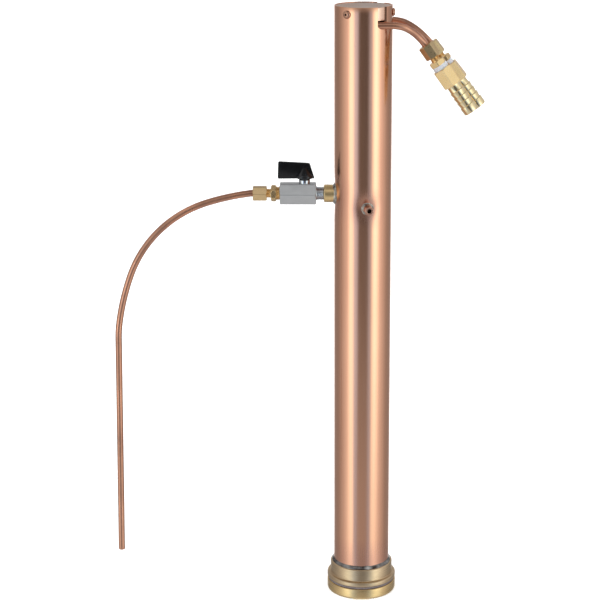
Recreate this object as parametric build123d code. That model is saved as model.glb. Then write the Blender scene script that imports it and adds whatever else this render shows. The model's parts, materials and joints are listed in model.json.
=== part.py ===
"""Copper reflux column head: a packed column with a coil condenser, two slanted
collecting plates, a take-off ball valve with its outlet pipe, and a thermometer port.

Millimetres, +Z up. The origin is on the column axis at the bottom face of the base
ring, -Y is the front, the take-off valve points along -X and the coolant pipes leave
towards +X.
"""
from build123d import *
from math import cos, radians, sin, sqrt
import os

# --- column ---------------------------------------------------------------------
TUBE_OD = 54.0
TUBE_WALL = 1.5
TUBE_R = TUBE_OD / 2
TUBE_IR = TUBE_R - TUBE_WALL
TUBE_BOTTOM = 18.0
TUBE_TOP = 578.5
STUB_CUT_LEN = 12.0
FIT_GAP = 0.03

# --- base fitting, 2 inch pipe thread (G2) female at the bottom -------------------
RING_TOP = 10.5
GASKET_TOP = 13.0
FLANGE_TOP = 17.6
COLLAR_TOP = 29.9
SOLDER_TOP = 32.5
FLANGE_R = 33.65
COLLAR_R = 30.3
THREAD_BORE_R = 28.3
SPIGOT_R = 30.45
SPIGOT_TOP = 15.9
LEDGE_R = 24.0
RING_BEVEL = 1.6
EDGE_BEVEL = 0.5
COLLAR_BEVEL = 0.7
GASKET_INSET = 1.1
SPIGOT_END_GAP = 0.3
BEAD_OUTLINE = ((TUBE_R + FIT_GAP, COLLAR_TOP), (COLLAR_R - 1.0, COLLAR_TOP),
                (TUBE_R + 1.1, COLLAR_TOP + 0.9), (TUBE_R + 0.4, SOLDER_TOP),
                (TUBE_R + FIT_GAP, SOLDER_TOP))

# --- cap and its screws ---------------------------------------------------------
CAP_BOTTOM = 565.8
CAP_TOP = 578.1
CAP_INNER_R = 19.5
CAP_PLATE = 4.0
SCREW_Z = 572.0
SCREW_AZIMUTHS = (-34.0, 86.0, 206.0)
M4_R = 2.0
SCREW_SHANK = 8.0
SCREW_HEAD_R = 3.8
SCREW_HEAD_H = 2.2
SCREW_DOME_R = 4.4
SCREW_SOCKET_AF = 2.5
SCREW_SOCKET_FLOOR = 0.8
SCREW_TUBE_GAP = 0.15
SCREW_CAP_GAP = 0.02
SCREW_SEAT_GAP = 0.02
TUBE_CUT_LEN = 8.0
CAP_CUT_LEN = 20.0

# --- condenser: 1/4 inch copper tube, outer coil down and inner coil up -----------
PIPE_OD = 6.35
PIPE_R = PIPE_OD / 2
PIPE_IR = 2.375
OUTER_COIL_R = 20.35
INNER_COIL_R = 11.5
SLOT_Z = 561.7
SLOT_W = 6.75
SLOT_REACH = 40.0
COIL_PITCH = 10.0
FIRST_DROP = 5.2
OUTER_SIDES = 34
INNER_SIDES = 35
SPIRAL_RADII = (17.5, 14.5)
SPIRAL_DROP = 1.5
FIRST_BEND_R = 50.0
COIL_EASE = 0.95
LEVEL_RUN_X = 5.0
CUT_X = 9.0

# --- valve line, along -X at Y = 0 --------------------------------------------------
VALVE_Z = 401.8
BOSS_R = 8.4
BOSS_START = 24.6
BOSS_END = 36.6
BOSS_CHAMFER = 0.6
NIPPLE_START = 27.5
NIPPLE_END = 43.9
BODY_END = 78.2
BODY_AF = 19.5
STEM_X = 54.8
BONNET_R = 5.4
BONNET_TOP = 415.5
G14_R = 6.58
G14_PITCH = 1.337
G14_DEPTH = 0.75
CREST_FROM, CREST_TO = 0.42, 0.58
FLOW_R = 3.2
BALL_R = 6.0
CAVITY_R = 7.4
SEAT_HALF = 7.2
SEAT_LEN = 3.4
SEAT_GAP = 0.02
SEAT_RIM_GAP = 0.1
SEAT_BORE_GAP = 0.2
BODY_SOCKET = 6.0
STEM_R = 2.45
STEM_CLEARANCE = 0.05
STEM_TOP = BONNET_TOP + 7.0
STEM_FLATS = 3.6
STEM_FOOT_GAP = 0.1
FLATS_LEN = 6.0
FLATS_Z = BONNET_TOP + 4.5
GROOVE_R = 1.7
GROOVE_LEN = 1.4
GROOVE_BOTTOM = BONNET_TOP - 3.0
O_RING_R = 2.08
O_RING_SECTION_R = 0.36
LEVER_BOTTOM = 416.0
LEVER_TOP = 432.5
LEVER_THICK = 3.6
LEVER_CORNER_R = 0.8
LEVER_OUTLINE = ((-80.2, LEVER_BOTTOM), (-79.6, LEVER_TOP), (-49.6, LEVER_TOP - 1.6),
                 (-45.0, LEVER_BOTTOM + 0.2))
HUB_OUTLINE = ((0, LEVER_BOTTOM), (7.3, LEVER_BOTTOM), (8.3, LEVER_BOTTOM + 1.6), (7.6, LEVER_BOTTOM + 3.2),
               (3.0, LEVER_TOP - 5.0), (0, LEVER_TOP - 5.0))
TANG_W = 2.2
TANG_LEN = 5.0
TANG_RISE = 4.2
TANG_OVERLAP = 0.2
TANG_BOTTOM = VALVE_Z + TANG_RISE
SHOULDER_R = 3.2
SHOULDER_TOP = VALVE_Z + CAVITY_R + 0.5
GLAND_R = 4.2
GLAND_BOTTOM = SHOULDER_TOP + 0.1

# --- compression fittings (shared by the take-off pipe and both coolant pipes) ----
NUT_AF = 13.0
NUT_LEN = 13.1
NUT_BORE_GAP = 0.1
NUT_SEAT = (2.5, 4.5)
NECK_R = 4.35
NECK_LEN = 4.0
NECK_THREAD_GAP = 0.35
OLIVE_OUTLINE = ((PIPE_R + 0.01, 4.6), (NECK_R, 5.2), (NECK_R + 0.2, 6.4), (NECK_R, 7.6),
                 (PIPE_R + 0.01, 8.2))
CONE_START = 8.3
ADAPTOR_AF = 14.0
ADAPTOR_LEN = 5.0
ADAPTOR_BORE_R = 2.4
ADAPTOR_GAP = 3.3
THREAD_LEN = 12.0
TAPE_LEN = 4.1
TAPE_R = 7.1
TAIL_HEX_LEN = 18.2
TAIL_AF = 17.0
TAIL_BORE_R = 4.0
TAIL_SOCKET = 9.5
BARB_ROOT_LEN = 6.3
BARB_ROOT_R = 6.5
BARB_VALLEY_R = 6.7
BARB_R = 7.5
BARB_LIP = 0.6
BARB_COUNT = 4
BARB_PITCH = 5.5
BARB_TIP_LEN = 7.7
BARB_TIP_R = 7.1
HEX_CHAMFER = 0.6

# --- take-off pipe: bend radius and angle, one after the other ------------------------
PIPE_START_X = 92.0
FIRST_BEND_X = 104.5
TAKEOFF_BENDS = ((15.0, 7.5), (240.0, 10.0), (117.0, 52.0), (240.0, 12.2), (108.0, 7.3))
TAKEOFF_END_Z = 38.4

# --- coolant pipe ends: corners of each route outside the column, and fitting axis --------
COOLANT = {
    "a": {
        "corners": ((32.6, -20.35, SLOT_Z), (44.2, -15.2, 556.5), (54.4, -9.0, 545.8)),
        "entry": (56.8, -9.0, 542.4),
        "direction": (0.579, 0.0, -0.815),
        "radii": (26.0, 50.0, 20.0),
        "tail_turn": 0.0,
    },
    "b": {
        "corners": ((33.0, 20.35, SLOT_Z + 0.3), (46.8, 15.6, 556.9), (59.3, 9.0, 545.4)),
        "entry": (61.9, 9.0, 542.1),
        "direction": (0.618, 0.0, -0.786),
        "radii": (30.0, 60.0, 24.0),
        "tail_turn": 10.0,
    },
}
PIPE_IN_FITTING = 12.0
PIPE_FIT_GAP = 0.05
NUT_TURNS = {"takeoff": 0.0, "coolant_a": 24.0, "coolant_b": 12.0}
ADAPTOR_TURNS = {"takeoff": 30.0, "coolant_a": 4.0, "coolant_b": 24.0}

# --- thermometer port -----------------------------------------------------------------
PORT_AZIMUTH = 9.3
PORT_Z = 392.6
PORT_R = 4.0
PORT_BORE_R = 2.1
PORT_INNER = 22.0
PORT_OUTER = 37.0
PORT_CHAMFER = 0.4
PORT_SOLDER_R = 5.75

# --- solder rings where a stub leaves the column wall -----------------------------------
SOLDER_SINK = 1.3
SOLDER_LIP = 0.5
PORT_SOLDER_RISE = 2.0
BOSS_SOLDER_RISE = 2.2
BOSS_SOLDER_R = BOSS_R + 2.4

# --- slant plates, packing and screen -----------------------------------------------
PLATE_THICK = 1.2
PLATE_OVERLAP = 3.0
LOWER_PLATE_Z = 396.5
UPPER_PLATE_Z = 462.0
PACKING_BOTTOM = 19.6
PACKING_TOP = 370.0
PACKING_SHEET = 0.4
PACKING_PITCH = 5.0
PACKING_R = 24.6
PACKING_CORE_R = 3.0
SCREEN_THICK = 1.0
SCREEN_HOLE_R = 2.0
SCREEN_GRID = 6.0
SCREEN_REACH = 4
SCREEN_GAP = 0.3


def ring(r_out, r_in, z0, z1):
    """Plain tube about Z."""
    return Pos(0, 0, (z0 + z1) / 2) * (Cylinder(r_out, z1 - z0) - Cylinder(r_in, z1 - z0 + 2))


def rod(r, z0, z1):
    """Solid cylinder about Z."""
    return Pos(0, 0, (z0 + z1) / 2) * Cylinder(r, z1 - z0)


def turned(*points):
    """Solid of revolution about Z from (radius, height) points."""
    face = make_face(Polyline(*[(r, 0, z) for r, z in points], close=True))
    return revolve(face, Axis.Z, 360)


def hexagon(across_flats, z0, z1, turn):
    """Hexagonal bar about Z, its ends turned to a chamfer."""
    low_r, side_r = across_flats / 2, across_flats / sqrt(3)
    bar = extrude(Pos(0, 0, z0) * Rot(0, 0, turn) * RegularPolygon(side_r, 6), z1 - z0)
    drop = (side_r - low_r) * HEX_CHAMFER
    return bar & turned((0, z0), (low_r, z0), (side_r, z0 + drop), (side_r, z1 - drop), (low_r, z1),
                        (0, z1))


def threaded_outline(r_major, z0, z1, pitch=G14_PITCH, depth=G14_DEPTH):
    """Outline points, bottom to top, of a rod with ring grooves of a thread's pitch and depth."""
    count = int((z1 - z0) / pitch)
    points = []
    for i in range(count):
        low = z0 + i * pitch
        points += [(r_major - depth, low), (r_major, low + pitch * CREST_FROM),
                   (r_major, low + pitch * CREST_TO)]
    points.append((r_major - depth, z0 + count * pitch))
    if z1 - (z0 + count * pitch) > 0.01:
        points.append((r_major - depth, z1))
    return points


def at_azimuth(azimuth, radius, z):
    """Point at a radius; azimuth 0 is the front (-Y) and +90 is +X."""
    a = radians(azimuth)
    return Vector(radius * sin(a), -radius * cos(a), z)


def outward_plane(azimuth, radius, z):
    """Plane on a point at a radius, its normal pointing out of the column."""
    out = at_azimuth(azimuth, 1, 0)
    return Plane(origin=at_azimuth(azimuth, radius, z), x_dir=(0, 0, 1), z_dir=out)


def valve_plane(x=0.0):
    """Plane on the valve line whose normal points along -X, away from the column."""
    return Plane(origin=(-x, 0, VALVE_Z), x_dir=(0, 0, 1), z_dir=(-1, 0, 0))


def coolant_plane(side):
    """Plane at the fitting's pipe entry, its normal along the fitting towards the barb."""
    data = COOLANT[side]
    return Plane(origin=data["entry"], x_dir=(0, 1, 0), z_dir=data["direction"])


def takeoff_plane():
    """Same as coolant_plane, for the take-off pipe: its fitting runs back towards the valve."""
    entry = -(BODY_END + ADAPTOR_GAP + ADAPTOR_LEN + NECK_LEN + NUT_LEN)
    return Plane(origin=(entry, 0, VALVE_Z), x_dir=(0, 1, 0), z_dir=(1, 0, 0))


# --- column -----------------------------------------------------------------------
def column_tube():
    tube = ring(TUBE_R, TUBE_IR, TUBE_BOTTOM, TUBE_TOP)
    for side in (-1, 1):
        slot_y = side * OUTER_COIL_R
        tube -= Pos(TUBE_R, slot_y, SLOT_Z) * Rot(0, 90, 0) * Cylinder(SLOT_W / 2, SLOT_REACH)
        tube -= Pos(TUBE_R, slot_y, SLOT_Z + SLOT_REACH / 2) * Box(SLOT_REACH, SLOT_W, SLOT_REACH)
    tube -= valve_plane(TUBE_R) * Cylinder(BOSS_R + FIT_GAP, STUB_CUT_LEN)
    tube -= outward_plane(PORT_AZIMUTH, TUBE_R, PORT_Z) * Cylinder(PORT_R + FIT_GAP, STUB_CUT_LEN)
    for azimuth in SCREW_AZIMUTHS:
        tube -= outward_plane(azimuth, TUBE_R, SCREW_Z) * Cylinder(M4_R + SCREW_TUBE_GAP, TUBE_CUT_LEN)
    return tube


def top_cap():
    cap = rod(TUBE_IR - FIT_GAP, CAP_BOTTOM, CAP_TOP)
    cap -= rod(CAP_INNER_R, CAP_BOTTOM - 1, CAP_TOP - CAP_PLATE)
    for azimuth in SCREW_AZIMUTHS:
        cap -= outward_plane(azimuth, TUBE_R, SCREW_Z) * Cylinder(M4_R + SCREW_CAP_GAP, CAP_CUT_LEN)
    return cap


def cap_screws():
    shank = rod(M4_R, -SCREW_SHANK, 0)
    dome = Pos(0, 0, SCREW_HEAD_H - SCREW_DOME_R) * Sphere(SCREW_DOME_R)
    dome &= rod(SCREW_HEAD_R, 0, SCREW_HEAD_H)
    flats = Pos(0, 0, SCREW_SOCKET_FLOOR) * RegularPolygon(SCREW_SOCKET_AF / sqrt(3), 6)
    socket = extrude(flats, SCREW_HEAD_H)
    screw = (dome + shank) - socket
    return [outward_plane(azimuth, TUBE_R + SCREW_SEAT_GAP, SCREW_Z) * screw for azimuth in SCREW_AZIMUTHS]


def thermometer_port():
    sleeve = ring(PORT_R, PORT_BORE_R, PORT_INNER, PORT_OUTER)
    sleeve = chamfer(sleeve.edges().group_by(Axis.Z)[-1], PORT_CHAMFER)
    return outward_plane(PORT_AZIMUTH, 0, PORT_Z) * sleeve


def wall_fillet(plane, r_inner, r_outer, height):
    """Solder ring where a round stub leaves the column wall."""
    foot = TUBE_R - SOLDER_SINK
    cone = turned((r_inner, foot), (r_outer, foot), (r_outer - SOLDER_LIP, TUBE_R + SOLDER_LIP),
                  (r_inner + SOLDER_LIP, TUBE_R + height), (r_inner, TUBE_R + height))
    return plane * cone - rod(TUBE_R + FIT_GAP, TUBE_BOTTOM, TUBE_TOP)


def port_solder():
    plane = outward_plane(PORT_AZIMUTH, 0, PORT_Z)
    return wall_fillet(plane, PORT_R + FIT_GAP, PORT_SOLDER_R, PORT_SOLDER_RISE)


def boss_solder():
    return wall_fillet(valve_plane(), BOSS_R + FIT_GAP, BOSS_SOLDER_R, BOSS_SOLDER_RISE)


# --- base -------------------------------------------------------------------------
def base_ring():
    return turned((THREAD_BORE_R, 0), (FLANGE_R - RING_BEVEL, 0), (FLANGE_R - EDGE_BEVEL, EDGE_BEVEL),
                  (FLANGE_R, RING_BEVEL), (FLANGE_R, RING_TOP - EDGE_BEVEL),
                  (FLANGE_R - EDGE_BEVEL, RING_TOP), (SPIGOT_R, RING_TOP), (SPIGOT_R, SPIGOT_TOP),
                  (THREAD_BORE_R, SPIGOT_TOP))


def base_gasket():
    return ring(FLANGE_R - GASKET_INSET, SPIGOT_R + FIT_GAP, RING_TOP, GASKET_TOP)


def base_collar():
    return turned((SPIGOT_R + FIT_GAP, GASKET_TOP), (FLANGE_R - EDGE_BEVEL, GASKET_TOP),
                  (FLANGE_R, GASKET_TOP + EDGE_BEVEL), (FLANGE_R, FLANGE_TOP - COLLAR_BEVEL),
                  (FLANGE_R - COLLAR_BEVEL, FLANGE_TOP), (COLLAR_R + EDGE_BEVEL, FLANGE_TOP),
                  (COLLAR_R, FLANGE_TOP + EDGE_BEVEL), (COLLAR_R, COLLAR_TOP - COLLAR_BEVEL),
                  (COLLAR_R - COLLAR_BEVEL, COLLAR_TOP), (TUBE_R + FIT_GAP, COLLAR_TOP),
                  (TUBE_R + FIT_GAP, TUBE_BOTTOM), (LEDGE_R, TUBE_BOTTOM),
                  (LEDGE_R, SPIGOT_TOP + SPIGOT_END_GAP),
                  (SPIGOT_R + FIT_GAP, SPIGOT_TOP + SPIGOT_END_GAP))


def base_solder():
    return turned(*BEAD_OUTLINE)


# --- inside the column ----------------------------------------------------------------
def slant_plate(wall_side, wall_z, rise):
    """Half-moon plate at 45 degrees, from the wall on one side to just past the axis."""
    reach = TUBE_IR + PLATE_OVERLAP
    middle_x = wall_side * (TUBE_IR - reach / 2)
    slab = Pos(middle_x, 0, wall_z + rise * reach / 2) * Rot(0, wall_side * rise * 45, 0)
    slab = slab * Box(reach * sqrt(2), TUBE_OD, PLATE_THICK)
    return slab & rod(TUBE_IR - FIT_GAP, wall_z - 2 * reach, wall_z + 2 * reach)


def lower_slant_plate():
    return slant_plate(-1, LOWER_PLATE_Z, 1)


def upper_slant_plate():
    return slant_plate(1, UPPER_PLATE_Z, -1)


def packing_screen():
    bottom = TUBE_BOTTOM + FIT_GAP
    screen = rod(TUBE_IR - SCREEN_GAP, bottom, bottom + SCREEN_THICK)
    for i in range(-SCREEN_REACH, SCREEN_REACH + 1):
        for j in range(-SCREEN_REACH, SCREEN_REACH + 1):
            x = (i + j / 2) * SCREEN_GRID
            y = j * SCREEN_GRID * sqrt(3) / 2
            if sqrt(x * x + y * y) < LEDGE_R - SCREEN_HOLE_R - 1:
                screen -= Pos(x, y, bottom) * Cylinder(SCREEN_HOLE_R, 4 * SCREEN_THICK)
    return screen


def mesh_packing():
    """Rolled mesh blanket: half rings whose radius grows by half a pitch each time."""
    roll = None
    radius = PACKING_CORE_R
    side = 1
    while radius < PACKING_R:
        centre_y = 0 if side > 0 else PACKING_PITCH / 2
        half = Pos(0, centre_y) * (Circle(radius) - Circle(radius - PACKING_SHEET))
        half &= Pos(side * TUBE_OD / 2, 0) * Rectangle(TUBE_OD, TUBE_OD * 2)
        roll = half if roll is None else roll + half
        radius += PACKING_PITCH / 2
        side = -side
    return extrude(Pos(0, 0, PACKING_BOTTOM) * roll, PACKING_TOP - PACKING_BOTTOM)


# --- condenser --------------------------------------------------------------------------
def coil_sides():
    """Distance from the axis and height of each quarter turn's tangent line, in order."""
    top_z = COOLANT["b"]["corners"][0][2]
    sides = [(OUTER_COIL_R, top_z), (OUTER_COIL_R, top_z - FIRST_DROP)]
    step = COIL_PITCH / 4
    while len(sides) < OUTER_SIDES:
        drop = FIRST_DROP if len(sides) < 4 else step
        sides.append((OUTER_COIL_R, sides[-1][1] - drop))
    low_z = sides[-1][1] - SPIRAL_DROP
    sides += [(radius, low_z) for radius in SPIRAL_RADII]
    rise = (SLOT_Z - low_z) / (INNER_SIDES - 1)
    sides += [(INNER_COIL_R, low_z + rise * i) for i in range(INNER_SIDES - 1)]
    sides.append((OUTER_COIL_R, SLOT_Z))
    return sides


def condenser_coil():
    """Outer coil down and inner coil up, between the two level runs that leave by the slots."""
    top_z = COOLANT["b"]["corners"][0][2]
    route = [Vector(CUT_X, OUTER_COIL_R, top_z), Vector(LEVEL_RUN_X, OUTER_COIL_R, top_z)]
    radii = [FIRST_BEND_R]
    sides = coil_sides()
    for k in range(len(sides) - 1):
        (near, z_near), (far, z_far) = sides[k], sides[k + 1]
        a, b = radians(90 + 90 * k), radians(180 + 90 * k)
        x, y = near * cos(a) + far * cos(b), near * sin(a) + far * sin(b)
        route.append(Vector(x, y, (z_near + z_far) / 2))
        radii.append(COIL_EASE * min(near, far))
    route[-1].Z = SLOT_Z
    route.append(Vector(CUT_X, -OUTER_COIL_R, SLOT_Z))
    return swept_tube(FilletPolyline(*route, radius=radii))


def coolant_pipe(side):
    """Tail of the condenser tube, from inside the column through its slot to its fitting."""
    data = COOLANT[side]
    corners = [Vector(c) for c in data["corners"]]
    start = Vector(CUT_X, corners[0].Y, corners[0].Z)
    end = Vector(data["entry"]) + Vector(data["direction"]).normalized() * PIPE_IN_FITTING
    return swept_tube(FilletPolyline(start, *corners, end, radius=data["radii"]))


def swept_tube(path):
    """Copper tube along a path."""
    section = Plane(origin=path @ 0, z_dir=path % 0) * (Circle(PIPE_R) - Circle(PIPE_IR))
    return sweep(section, path=path)


# --- compression fittings, in a local frame: pipe entry at 0, along +Z ------------------
def nut(turn):
    body = hexagon(NUT_AF, 0, NUT_LEN, turn)
    bore, socket = PIPE_R + NUT_BORE_GAP, NECK_R + NECK_THREAD_GAP
    hollow = turned((0, -1), (bore, -1), (bore, NUT_SEAT[0]), (socket, NUT_SEAT[1]), (socket, NUT_LEN + 1),
                    (0, NUT_LEN + 1))
    return body - hollow


def olive():
    return turned(*OLIVE_OUTLINE)


def adaptor(turn):
    """Male connector: pipe socket and cone, hexagon, male G1/4 thread."""
    hex_start = NUT_LEN + NECK_LEN
    thread_start = hex_start + ADAPTOR_LEN
    thread_end = thread_start + THREAD_LEN
    core = rod(NECK_R, CONE_START, hex_start + 1) + hexagon(ADAPTOR_AF, hex_start, thread_start, turn)
    grooves = threaded_outline(G14_R, thread_start, thread_end)
    core += turned((0, thread_start - 0.5), *grooves, (0, thread_end))
    core -= rod(ADAPTOR_BORE_R, 0, thread_end + 1)
    return core - rod(PIPE_R + PIPE_FIT_GAP, 0, PIPE_IN_FITTING + PIPE_FIT_GAP)


def tape():
    start = NUT_LEN + NECK_LEN + ADAPTOR_LEN
    return ring(TAPE_R, G14_R + FIT_GAP / 2, start + FIT_GAP, start + TAPE_LEN - FIT_GAP)


def hose_tail(turn):
    """Female hexagon and a barb for a 13 mm hose."""
    start = NUT_LEN + NECK_LEN + ADAPTOR_LEN + TAPE_LEN
    hex_end = start + TAIL_HEX_LEN
    low = hex_end + BARB_ROOT_LEN
    outline = [(0, hex_end - 1), (BARB_ROOT_R, hex_end - 1), (BARB_ROOT_R, low)]
    for _ in range(BARB_COUNT - 1):
        outline += [(BARB_R, low), (BARB_R, low + BARB_LIP), (BARB_VALLEY_R, low + BARB_PITCH)]
        low += BARB_PITCH
    tip = low + BARB_TIP_LEN
    outline += [(BARB_R, low), (BARB_R, low + BARB_LIP), (BARB_TIP_R, tip), (0, tip)]
    tail = hexagon(TAIL_AF, start, hex_end, turn) + turned(*outline)
    tail -= rod(G14_R + FIT_GAP, start - 1, start + TAIL_SOCKET)
    return tail - rod(TAIL_BORE_R, start, tip + 1)


# --- take-off valve, in valve_plane() coordinates: distance from the column axis ----------
def valve_boss():
    stub = ring(BOSS_R, G14_R + FIT_GAP, BOSS_START, BOSS_END)
    stub = chamfer(stub.edges().group_by(Axis.Z)[-1].sort_by(SortBy.RADIUS)[-1], BOSS_CHAMFER)
    return valve_plane() * stub - rod(TUBE_IR, VALVE_Z - 2 * BOSS_R, VALVE_Z + 2 * BOSS_R)


def valve_nipple():
    """End piece screwed into the valve body, with the male thread that enters the boss."""
    plug_end = STEM_X - SEAT_HALF
    grooves = threaded_outline(G14_R, NIPPLE_START, NIPPLE_END)
    thread = turned((0, NIPPLE_START), *grooves, (0, NIPPLE_END))
    piece = thread + rod(CAVITY_R - FIT_GAP, NIPPLE_END, plug_end)
    return valve_plane() * (piece - rod(FLOW_R, NIPPLE_START - 1, plug_end + 1))


def valve_body():
    far_seat = STEM_X + SEAT_HALF
    hex_bar = hexagon(BODY_AF, NIPPLE_END, BODY_END, turn=30)
    hex_bar -= rod(CAVITY_R, NIPPLE_END - 1, far_seat)
    hex_bar -= rod(FLOW_R, far_seat - 1, BODY_END)
    hex_bar -= rod(G14_R + FIT_GAP, far_seat + BODY_SOCKET, BODY_END + 1)
    body = valve_plane() * hex_bar
    body -= at_stem(rod(SHOULDER_R + 10 * FIT_GAP, VALVE_Z, BONNET_TOP))
    return body - at_stem(rod(GLAND_R + FIT_GAP, GLAND_BOTTOM, BONNET_TOP))


def at_stem(solid):
    """Move a solid made about Z to the stem's axis."""
    return Pos(-STEM_X, 0, 0) * solid


def stem_gland():
    """Gland nut that holds the stem down by its shoulder."""
    hex_top = VALVE_Z + BODY_AF / 2
    gland = rod(GLAND_R, GLAND_BOTTOM, hex_top + 1) + rod(BONNET_R, hex_top + FIT_GAP, BONNET_TOP)
    gland = chamfer(gland.edges().group_by(Axis.Z)[-1], EDGE_BEVEL)
    return at_stem(gland - rod(STEM_R + STEM_CLEARANCE, VALVE_Z, BONNET_TOP + 1))


def valve_seats():
    rings = []
    for low in (STEM_X - SEAT_HALF + SEAT_GAP, STEM_X + SEAT_HALF - SEAT_GAP - SEAT_LEN):
        seat = ring(CAVITY_R - SEAT_RIM_GAP, FLOW_R + SEAT_BORE_GAP, low, low + SEAT_LEN)
        rings.append(valve_plane() * (seat - ball_solid(BALL_R + STEM_CLEARANCE)))
    return rings


def ball_solid(radius):
    """Ball on the valve line at the stem."""
    return Pos(0, 0, STEM_X) * Sphere(radius)


def valve_ball():
    ball = valve_plane() * (ball_solid(BALL_R) - rod(FLOW_R, STEM_X - 2 * BALL_R, STEM_X + 2 * BALL_R))
    return ball - Pos(-STEM_X, 0, TANG_BOTTOM + BALL_R / 2) * Box(TANG_W + FIT_GAP, 3 * BALL_R, BALL_R)


def valve_stem():
    foot, groove_top = VALVE_Z + BALL_R + STEM_FOOT_GAP, GROOVE_BOTTOM + GROOVE_LEN
    stem = turned((0, foot), (SHOULDER_R, foot), (SHOULDER_R, SHOULDER_TOP), (STEM_R, SHOULDER_TOP),
                  (STEM_R, GROOVE_BOTTOM), (GROOVE_R, GROOVE_BOTTOM), (GROOVE_R, groove_top),
                  (STEM_R, groove_top), (STEM_R, STEM_TOP), (0, STEM_TOP))
    wide = 4 * STEM_R
    stem -= Pos(0, 0, FLATS_Z) * (Box(wide, wide, FLATS_LEN) - Box(wide, STEM_FLATS, FLATS_LEN))
    tang_len = BALL_R + TANG_OVERLAP - TANG_RISE
    return at_stem(stem + Pos(0, 0, TANG_BOTTOM + tang_len / 2) * Box(TANG_W, TANG_LEN, tang_len))


def stem_o_ring():
    section = Plane.XZ * (Pos(O_RING_R, GROOVE_BOTTOM + GROOVE_LEN / 2) * Circle(O_RING_SECTION_R))
    return at_stem(revolve(section, Axis.Z, 360))


def valve_lever():
    """Moulded lever: a conical hub under one upright blade."""
    blade = make_face(Polyline(*LEVER_OUTLINE, close=True))
    blade = extrude(Plane.XZ.offset(-LEVER_THICK / 2) * blade, LEVER_THICK)
    blade = fillet(blade.edges().filter_by(Axis.Y), LEVER_CORNER_R)
    bore_r = STEM_R + FIT_GAP / 2
    flats_bottom = FLATS_Z - FLATS_LEN / 2
    socket = rod(bore_r, flats_bottom - FIT_GAP, STEM_TOP + FIT_GAP)
    socket &= Pos(0, 0, FLATS_Z) * Box(4 * STEM_R, STEM_FLATS + FIT_GAP, FLATS_LEN)
    socket += rod(bore_r, LEVER_BOTTOM - 1, flats_bottom + FIT_GAP)
    return blade + at_stem(turned(*HUB_OUTLINE)) - at_stem(socket)


def takeoff_pipe():
    """Outlet pipe: straight out of the nut, five gentle bends, then straight down."""
    start, heading = Vector(-PIPE_START_X, VALVE_Z), Vector(-1, 0)
    edges = [Line(start, (-FIRST_BEND_X, VALVE_Z))]
    for radius, angle in TAKEOFF_BENDS:
        edges.append(JernArc(edges[-1] @ 1, heading, radius, angle))
        heading = edges[-1] % 1
    corner = edges[-1] @ 1
    run = (corner.Y - TAKEOFF_END_Z) / -heading.Y
    edges.append(Line(corner, corner + heading * run))
    return swept_tube(Plane.XZ * Wire(edges))


def build_all():
    """Every node by name."""
    parts = {
        "column_tube": column_tube(),
        "top_cap": top_cap(),
        "cap_screws": cap_screws(),
        "thermometer_port": thermometer_port(),
        "port_solder": port_solder(),
        "base_ring": base_ring(),
        "base_gasket": base_gasket(),
        "base_collar": base_collar(),
        "base_solder": base_solder(),
        "packing_screen": packing_screen(),
        "mesh_packing": mesh_packing(),
        "lower_slant_plate": lower_slant_plate(),
        "upper_slant_plate": upper_slant_plate(),
        "condenser_coil": condenser_coil(),
        "valve_boss": valve_boss(),
        "boss_solder": boss_solder(),
        "valve_nipple": valve_nipple(),
        "valve_body": valve_body(),
        "stem_gland": stem_gland(),
        "valve_seats": valve_seats(),
        "valve_ball": valve_ball(),
        "valve_stem": valve_stem(),
        "stem_o_ring": stem_o_ring(),
        "valve_lever": valve_lever(),
        "takeoff_pipe": takeoff_pipe(),
    }
    places = {"takeoff": takeoff_plane(), "coolant_a": coolant_plane("a"), "coolant_b": coolant_plane("b")}
    for name, plane in places.items():
        parts[name + "_nut"] = plane * nut(NUT_TURNS[name])
        parts[name + "_olive"] = plane * olive()
        parts[name + "_adaptor"] = plane * adaptor(ADAPTOR_TURNS[name])
    for side in COOLANT:
        parts["coolant_pipe_" + side] = coolant_pipe(side)
        parts["ptfe_tape_" + side] = coolant_plane(side) * tape()
        parts["hose_barb_" + side] = coolant_plane(side) * hose_tail(COOLANT[side]["tail_turn"])
    return parts


def main():
    os.makedirs("parts", exist_ok=True)
    for name, shape in build_all().items():
        solid = Compound(children=shape) if isinstance(shape, list) else shape
        export_step(solid, "parts/" + name + ".step")


if __name__ == "__main__":
    main()
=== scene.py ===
"""Looks of the copper reflux column head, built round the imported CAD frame.

Blender metres, +Z up, the CAD's own frame. Outlines are written in millimetres and
scaled by MM where they become meshes. Turned and hexagonal pieces are lathed about
their own Z axis and placed on the valve line, the fittings' lines or the column.
"""
from math import atan2, cos, exp, pi, radians, sin, sqrt, tan

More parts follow.
